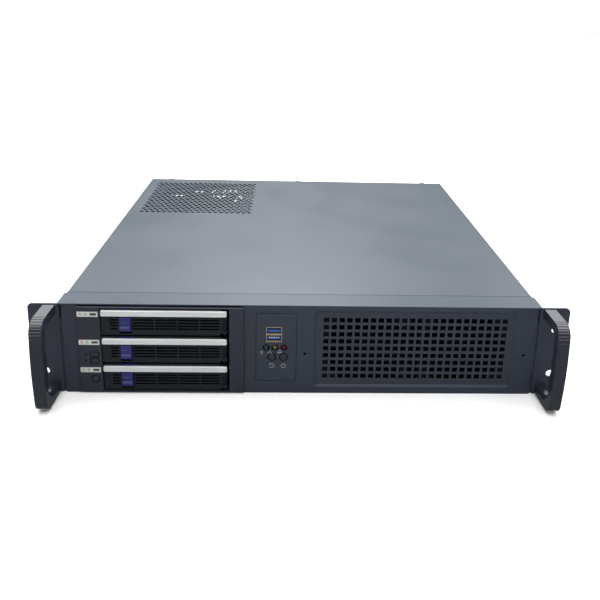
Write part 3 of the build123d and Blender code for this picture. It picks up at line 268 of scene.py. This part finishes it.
def circuit(name, colour):
    """Solder mask over faint copper tracks."""
    surface = Surface(name)
    tracks = surface.tree.nodes.new("ShaderNodeTexBrick")
    tracks.inputs["Scale"].default_value = 90.0
    tracks.inputs["Mortar Size"].default_value = 0.03
    tracks.inputs["Color1"].default_value = (*shade(colour, 0.9), 1)
    tracks.inputs["Color2"].default_value = (*shade(colour, 1.1), 1)
    tracks.inputs["Mortar"].default_value = (*shade(colour, 1.8), 1)
    surface.link(surface.coords, tracks.inputs["Vector"])
    rough_map = surface.remap(surface.noise(80.0, 3.0), 0.3, 0.7, 0.3, 0.45)
    surface.bump(surface.noise(900.0, 2.0), 0.2, 0.00003)
    return surface.done(tracks.outputs["Color"], rough_map)


SLATE = (0.028, 0.035, 0.052)
# A painted highlight colour for faces that look up, standing in for sheen.
SLATE_PAINTED_SHEEN = (0.063, 0.077, 0.095)
MATERIALS = {
    "front_paint": partial(coated, colour=SLATE, rough=0.4, painted_sheen_colour=SLATE_PAINTED_SHEEN,
                           Specular_IOR_Level=0.36),
    "cover_paint": partial(coated, colour=SLATE, rough=0.4, scuffs=0.2, painted_sheen_colour=SLATE_PAINTED_SHEEN),
    "case_steel": partial(coated, colour=SLATE, rough=0.42, scuffs=0.3),
    "bright_steel": partial(galvanised, colour=(0.36, 0.37, 0.38)),
    "screw_steel": partial(galvanised, colour=(0.5, 0.5, 0.51), rough=0.3),
    "handle_plastic": partial(moulded, colour=(0.013, 0.0165, 0.026), rough=0.27, depth=0.00002,
                              Specular_IOR_Level=0.9, Coat_Weight=0.35, Coat_Roughness=0.22),
    "module_plastic": partial(moulded, colour=(0.023, 0.028, 0.040), rough=0.42, Specular_IOR_Level=0.4),
    "lever_plastic": partial(moulded, colour=(0.0115, 0.0145, 0.020), rough=0.42, Specular_IOR_Level=0.26),
    "tray_plastic": partial(moulded, colour=(0.003, 0.004, 0.006), rough=0.5, Specular_IOR_Level=0.15),
    "trim_aluminium": partial(brushed, colour=(0.68, 0.69, 0.69), rough=0.4, metal=0.35),
    "latch_purple": partial(moulded, colour=(0.021, 0.023, 0.125), rough=0.33, grain=900.0,
                            Specular_IOR_Level=0.32),
    "label_white": partial(moulded, colour=(0.48, 0.49, 0.47), rough=0.4, depth=0.00001),
    "circuit_board": partial(circuit, colour=(0.010, 0.060, 0.030)),
    "black_connector": partial(moulded, colour=(0.015, 0.015, 0.017), rough=0.45),
    "connector_shell": partial(brushed, colour=(0.58, 0.50, 0.38), rough=0.3, metal=0.65),
    "usb_blue": partial(moulded, colour=(0.02, 0.10, 0.36), rough=0.35),
    "led_green": partial(moulded, colour=(0.006, 0.075, 0.04), rough=0.12, depth=0.000005, Coat_Weight=0.6),
    "led_yellow": partial(moulded, colour=(0.11, 0.11, 0.022), rough=0.12, depth=0.000005, Coat_Weight=0.6),
    "led_red": partial(moulded, colour=(0.085, 0.005, 0.014), rough=0.12, depth=0.000005, Coat_Weight=0.6),
    "switch_plastic": partial(moulded, colour=(0.018, 0.018, 0.02), rough=0.3),
    "fan_plastic": partial(moulded, colour=(0.003, 0.0035, 0.005), rough=0.5, Specular_IOR_Level=0.15),
    "drive_aluminium": partial(galvanised, colour=(0.45, 0.46, 0.47), rough=0.42),
    "heatsink_aluminium": partial(brushed, colour=(0.6, 0.61, 0.62), rough=0.3, stretch=(60, 1, 60)),
}
finishes = {}


def finish_for(name):
    """Each material is built once, when it is first needed."""
    if name not in finishes:
        finishes[name] = MATERIALS[name](name)
    return finishes[name]


def paint_cad_nodes():
    for row in frame["record"]["subparts"]:
        mesh = nodes[row["node"]].data
        mesh.materials.clear()
        # The levers are moulded in a darker plastic than the frame around them.
        lever = row["node"] in [f"lever_{bay}" for bay in BAYS]
        mesh.materials.append(finish_for("lever_plastic" if lever else row["material_slot"]))


# ---- Mesh helpers -----------------------------------------------------------------
def add_piece(name, mesh_data, body, slot_name, material=None):
    mesh = bpy.data.meshes.new(name)
    mesh_data.to_mesh(mesh)
    mesh_data.free()
    piece = bpy.data.objects.new(name, mesh)
    bpy.context.scene.collection.objects.link(piece)
    mesh.materials.append(material or finish_for(slot_name))
    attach(piece, body)


def flat_shape(mesh_data, outline, back, height):
    """A thin plate standing off a vertical face: outline is (x, z) points, back its rear y."""
    rear = [mesh_data.verts.new((x, back, z)) for x, z in outline]
    front = [mesh_data.verts.new((x, back - height, z)) for x, z in outline]
    mesh_data.faces.new(front)
    mesh_data.faces.new(rear[::-1])
    for index in range(len(outline)):
        after = (index + 1) % len(outline)
        mesh_data.faces.new((rear[index], rear[after], front[after], front[index]))


def circle_points(x, z, radius, count=20):
    angles = [2 * math.pi * index / count for index in range(count)]
    return [(x + radius * math.cos(angle), z + radius * math.sin(angle)) for angle in angles]


def box_points(x, z, width, height):
    return [(x - width / 2, z - height / 2), (x + width / 2, z - height / 2),
            (x + width / 2, z + height / 2), (x - width / 2, z + height / 2)]


def arc_band(x, z, radius, width, start, end, count=18):
    """A part of a ring, as an outline; angles in degrees, anticlockwise from +X."""
    angles = [math.radians(start + (end - start) * index / count) for index in range(count + 1)]

    def arc(reach):
        return [(x + reach * math.cos(angle), z + reach * math.sin(angle)) for angle in angles]

    return arc(radius + width / 2) + arc(radius - width / 2)[::-1]


def ring(x, z, radius, width, count=18, start=0.0):
    """A whole ring, left open by a hair so that its outline stays simple."""
    return arc_band(x, z, radius, width, start, start + 359.9, count)


def rounded_band(x, z, width, height, radius, line):
    """A line of the given thickness round a rounded rectangle, as an outline."""
    def loop(grow):
        points = []
        for corner, (side_x, side_z) in enumerate(((1, 1), (-1, 1), (-1, -1), (1, -1))):
            for step in range(5):
                angle = math.radians(90 * corner + 22.5 * step)
                points.append((x + side_x * (width / 2 - radius) + (radius + grow) * math.cos(angle),
                               z + side_z * (height / 2 - radius) + (radius + grow) * math.sin(angle)))
        # The loop stops a hair short of its first point.
        points.append((points[0][0], points[0][1] - 0.002 * MM))
        return points

    return loop(line / 2) + loop(-line / 2)[::-1]


def middle_of(node):
    """The middle of a node seen from the front, as x and z."""
    low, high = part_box(node)
    return (low[0] + high[0]) / 2, (low[2] + high[2]) / 2


# ---- Printing, which stands off its surface by the thickness of the ink ----------------
INK = 0.12 * MM
THIN_INK = 0.08 * MM
THICK_INK = 0.15 * MM


def printed(name, colour, rough=0.45):
    """Slightly uneven printing ink."""
    return moulded(name, colour, rough, grain=2200.0, depth=0.000008, spread=0.1,
                   Specular_IOR_Level=0.15)


# ---- Details on the drive module -----------------------------------------------------
LABEL_HEIGHT = 4.9 * MM
LABEL_MARK_X = (2.9 * MM, 7.2 * MM, 14.0 * MM)      # red, green and dark, from the label's left edge
WINDOW_HALF_HEIGHT = 2.2 * MM
WINDOW_LINE = (7.9 * MM, 5.3 * MM, 1.7 * MM)        # width, height and corner radius
LINE_WIDTH = 0.6 * MM


def label_marks():
    """On each bay label: a red and a green round-cornered mark, and a plain dark bar."""
    red, green, dark = bmesh.new(), bmesh.new(), bmesh.new()
    low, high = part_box("bay_labels")
    face = low[1]
    red_x, green_x, dark_x = (low[0] + offset for offset in LABEL_MARK_X)
    pitch = (high[2] - low[2] - LABEL_HEIGHT) / 2
    for row in range(len(BAYS)):
        z = low[2] + LABEL_HEIGHT / 2 + row * pitch
        flat_shape(red, ring(red_x, z, 1.15 * MM, 0.35 * MM, count=8), face, INK)
        flat_shape(red, circle_points(red_x, z, 0.45 * MM, 12), face, INK)
        flat_shape(green, ring(green_x, z, 1.1 * MM, 0.35 * MM, count=6, start=30), face, INK)
        flat_shape(green, box_points(green_x, z, 0.5 * MM, 1.1 * MM), face, INK)
        flat_shape(green, box_points(green_x, z, 1.1 * MM, 0.5 * MM), face - INK, INK / 2)
        flat_shape(dark, box_points(dark_x, z, 5.4 * MM, 2.1 * MM), face, INK)
    for colour, marks, ink in (("red", red, (0.45, 0.16, 0.15)), ("green", green, (0.10, 0.30, 0.24)),
                               ("dark", dark, (0.05, 0.05, 0.05))):
        add_piece(f"label_marks_{colour}", marks, "chassis", "label_white", printed(f"ink_{colour}", ink))


def module_marks():
    """A dark line round each window and the mute button, and a small downward arrowhead by each window."""
    low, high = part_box("alarm_windows")
    window_x = (low[0] + high[0]) / 2
    window_z = (low[2] + WINDOW_HALF_HEIGHT, high[2] - WINDOW_HALF_HEIGHT)
    marks = bmesh.new()
    for z in window_z:
        flat_shape(marks, rounded_band(window_x, z, *WINDOW_LINE, LINE_WIDTH), MODULE_FACE, THIN_INK)
    flat_shape(marks, ring(*middle_of("mute_button"), 3.75 * MM, LINE_WIDTH, count=32), MODULE_FACE, THIN_INK)
    x = low[0] - 4.2 * MM
    for z in window_z:
        flat_shape(marks, [(x - 1.3 * MM, z + 0.7 * MM), (x, z - 0.9 * MM), (x + 1.3 * MM, z + 0.7 * MM)],
                   MODULE_FACE, THICK_INK)
    add_piece("module_arrow_marks", marks, "chassis", "module_plastic",
              printed("ink_black", (0.003, 0.004, 0.007), 0.8))


# ---- Thumb pads on the latches ---------------------------------------------------------
PAD_HEIGHT = 13.6           # mm
PAD_SEAT = 0.35 * MM        # from the latch's foremost face back to the plane the pad rises from
PAD_BACK = 0.1 * MM         # the pad's thickness behind that plane
PAD_COLUMNS = 20
PAD_ROWS = 54


def smooth_step(value, low, high):
    t = min(1.0, max(0.0, (value - low) / (high - low)))
    return t * t * (3 - 2 * t)


def bulge(value, middle, width):
    return math.exp(-((value - middle) / width) ** 2)


def pad_height(u, z):
    """How far the pad stands out, in mm; u runs from -1 to 1 across it, z is mm above its bottom."""
    lip = 1.45 * smooth_step(z, 1.6, 2.6) * smooth_step(5.3 - z, 0.0, 1.5)
    hollow = -0.3 * bulge(z, 6.6, 0.8)
    ridge = 0.75 * bulge(z, 8.6 + 1.3 * u * u, 0.5)
    line = -0.3 * bulge(z, 11.6, 0.25)
    sides = smooth_step(1 - abs(u), 0.0, 0.12)
    ends = smooth_step(z, 0.0, 1.4) * smooth_step(PAD_HEIGHT - z, 0.0, 0.3)
    return 0.1 + sides * ends * (0.5 + lip + hollow + ridge + line)


def latch_pad(bay):
    """The thumb pad: flat above, a curved ridge, a hollow and a rounded lip below."""
    low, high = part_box(f"latch_{bay}")
    centre_x = (low[0] + high[0]) / 2
    half_width = (high[0] - low[0]) / 2
    seat = low[1] + PAD_SEAT
    mesh_data = bmesh.new()
    front, rear = [], []
    for row in range(PAD_ROWS + 1):
        z = PAD_HEIGHT * row / PAD_ROWS
        across = [2 * column / PAD_COLUMNS - 1 for column in range(PAD_COLUMNS + 1)]
        front.append([mesh_data.verts.new((centre_x + half_width * u, seat - pad_height(u, z) * MM,
                                           low[2] + z * MM)) for u in across])
    for line in front:
        rear.append([mesh_data.verts.new((vert.co.x, seat + PAD_BACK, vert.co.z)) for vert in line])
    for row in range(PAD_ROWS):
        for column in range(PAD_COLUMNS):
            mesh_data.faces.new((front[row][column], front[row][column + 1],
                                 front[row + 1][column + 1], front[row + 1][column]))
            mesh_data.faces.new((rear[row][column], rear[row + 1][column],
                                 rear[row + 1][column + 1], rear[row][column + 1]))
        for side in (0, PAD_COLUMNS):
            mesh_data.faces.new((front[row][side], front[row + 1][side],
                                 rear[row + 1][side], rear[row][side]))
    for column in range(PAD_COLUMNS):
        for end in (0, PAD_ROWS):
            mesh_data.faces.new((front[end][column], rear[end][column],
                                 rear[end][column + 1], front[end][column + 1]))
    for face in mesh_data.faces:
        face.smooth = True
    bmesh.ops.recalc_face_normals(mesh_data, faces=mesh_data.faces)
    add_piece(f"latch_pad_{bay}", mesh_data, f"bay_latch_{bay}", "latch_purple")


# ---- Details on the control plate -------------------------------------------------------
PLATE_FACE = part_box("control_plate")[0][1]
SIGN_LINE = 0.35 * MM
BUTTON_SIGN_DROP = 9.0 * MM         # from a button's middle to its sign's
BUTTON_SIGN_RADIUS = 2.0 * MM
BUTTON_SIGN_LINE = 0.55 * MM
BUTTON_RING = 3.8 * MM
LAMP_RING = 3.0 * MM


def beside(node, right, up):
    """A place on the control plate, from the middle of a node."""
    x, z = middle_of(node)
    return x + right * MM, z + up * MM


def control_marks():
    """Generic signs: a lamp, a network and a disk under the lamps, reset and power under the buttons."""
    marks = bmesh.new()

    def put(outline):
        flat_shape(marks, outline, PLATE_FACE, INK)

    x, z = beside("led_green", -4.0, -4.6)
    put(ring(x, z, 1.0 * MM, SIGN_LINE))
    put(box_points(x, z - 1.75 * MM, 0.9 * MM, 0.5 * MM))
    for turn in (45, 90, 135):
        angle = math.radians(turn)
        put(box_points(x + 1.75 * MM * math.cos(angle), z + 1.75 * MM * math.sin(angle), 0.4 * MM, 0.4 * MM))

    x, z = beside("led_yellow", -4.6, -4.4)
    put(box_points(x, z + 0.9 * MM, 1.1 * MM, 0.8 * MM))
    put(box_points(x, z, 0.3 * MM, 1.0 * MM))
    put(box_points(x, z - 0.45 * MM, 2.9 * MM, 0.3 * MM))
    for side in (-1, 1):
        put(box_points(x + side * 1.3 * MM, z - 1.0 * MM, 0.9 * MM, 0.8 * MM))

    x, z = beside("led_red", -3.8, -4.3)
    put(arc_band(x, z + 0.35 * MM, 1.45 * MM, 0.4 * MM, 10, 170))
    put(box_points(x, z - 0.45 * MM, 3.4 * MM, 1.0 * MM))

    # Reset: an open ring with an arrowhead at its end.
    x, z = middle_of("reset_button")
    z -= BUTTON_SIGN_DROP
    end = 120
    put(arc_band(x, z, BUTTON_SIGN_RADIUS, BUTTON_SIGN_LINE, -150, end, 24))
    tip_x = x + BUTTON_SIGN_RADIUS * math.cos(math.radians(end))
    tip_z = z + BUTTON_SIGN_RADIUS * math.sin(math.radians(end))
    put([(tip_x - 1.5 * MM, tip_z - 0.2 * MM), (tip_x + 0.3 * MM, tip_z - 1.1 * MM),
         (tip_x + 0.5 * MM, tip_z + 1.0 * MM)])

    # Power: a ring open at the top, and a stroke in the gap.
    x, z = middle_of("power_button")
    z -= BUTTON_SIGN_DROP
    put(arc_band(x, z, BUTTON_SIGN_RADIUS, BUTTON_SIGN_LINE, 125, 415, 24))
    put(box_points(x, z + 1.6 * MM, BUTTON_SIGN_LINE, 2.2 * MM))
    add_piece("control_marks", marks, "chassis", "front_paint", printed("ink_grey", (0.22, 0.23, 0.24)))


def control_painted_rims():
    """Painted shadow: a dark rim round each button and lamp, standing in for the shade at its edge."""
    rings = bmesh.new()
    for node, radius in (("reset_button", BUTTON_RING), ("power_button", BUTTON_RING),
                         ("led_green", LAMP_RING), ("led_yellow", LAMP_RING), ("led_red", LAMP_RING)):
        flat_shape(rings, ring(*middle_of(node), radius, LINE_WIDTH, count=32), PLATE_FACE, THIN_INK)
    add_piece("control_painted_rims", rings, "chassis", "front_paint",
              printed("painted_rim_shadow", (0.002, 0.003, 0.006), 0.8))


# ---- Contacts in the USB sockets ---------------------------------------------------------
TONGUE_HEIGHT = 6.2 * MM                # of one tongue with the block behind it
CONTACT_SETBACK = (1.1 * MM, 4.0 * MM)  # behind the tongue's front, in the lower and the upper socket
CONTACT_RISE = 3.4 * MM
CONTACT_PITCH = 2.1 * MM
CONTACT_SIZE = (1.2 * MM, 2.6 * MM, 0.6 * MM)
CONTACTS = 5


def usb_contacts():
    """Plated contacts on each tongue."""
    contacts = bmesh.new()
    low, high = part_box("usb_tongues")
    centre = (low[0] + high[0]) / 2
    port_pitch = high[2] - low[2] - TONGUE_HEIGHT
    for port, setback in enumerate(CONTACT_SETBACK):
        for index in range(CONTACTS):
            place = Matrix.Translation((centre + (index - (CONTACTS - 1) / 2) * CONTACT_PITCH,
                                        low[1] + setback, low[2] + port * port_pitch + CONTACT_RISE))
            bmesh.ops.create_cube(contacts, size=1.0, matrix=place @ Matrix.Diagonal((*CONTACT_SIZE, 1)))
    add_piece("usb_contacts", contacts, "chassis", "connector_shell",
              brushed("contact_plating", (0.92, 0.91, 0.86), 0.35, metal=0.2))


# ---- Floor ---------------------------------------------------------------------------------
FLOOR_HALF_SIZE = 8.0


def make_floor():
    mesh_data = bmesh.new()
    bmesh.ops.create_grid(mesh_data, x_segments=1, y_segments=1, size=FLOOR_HALF_SIZE)
    mesh = bpy.data.meshes.new("floor")
    mesh_data.to_mesh(mesh)
    mesh_data.free()
    floor = bpy.data.objects.new("floor", mesh)
    bpy.context.scene.collection.objects.link(floor)
    surface = Surface("floor_paper")
    cloud = surface.remap(surface.noise(1.2, 3.0), 0.3, 0.7, 0.0, 1.0)
    tone = surface.mix(cloud, (0.88, 0.885, 0.89), (0.92, 0.92, 0.92))
    rough_map = surface.remap(surface.noise(4.0), 0.3, 0.7, 0.75, 0.85)
    mesh.materials.append(surface.done(tone, rough_map, Emission_Color=(1, 1, 1, 1), Emission_Strength=0.1))
    # The front faces look down at the floor; without this its reflection greys them over.
    floor.visible_glossy = False


make_camera()
make_light()
paint_cad_nodes()
label_marks()
module_marks()
for bay in BAYS:
    latch_pad(bay)
control_marks()
control_painted_rims()
usb_contacts()
make_floor()
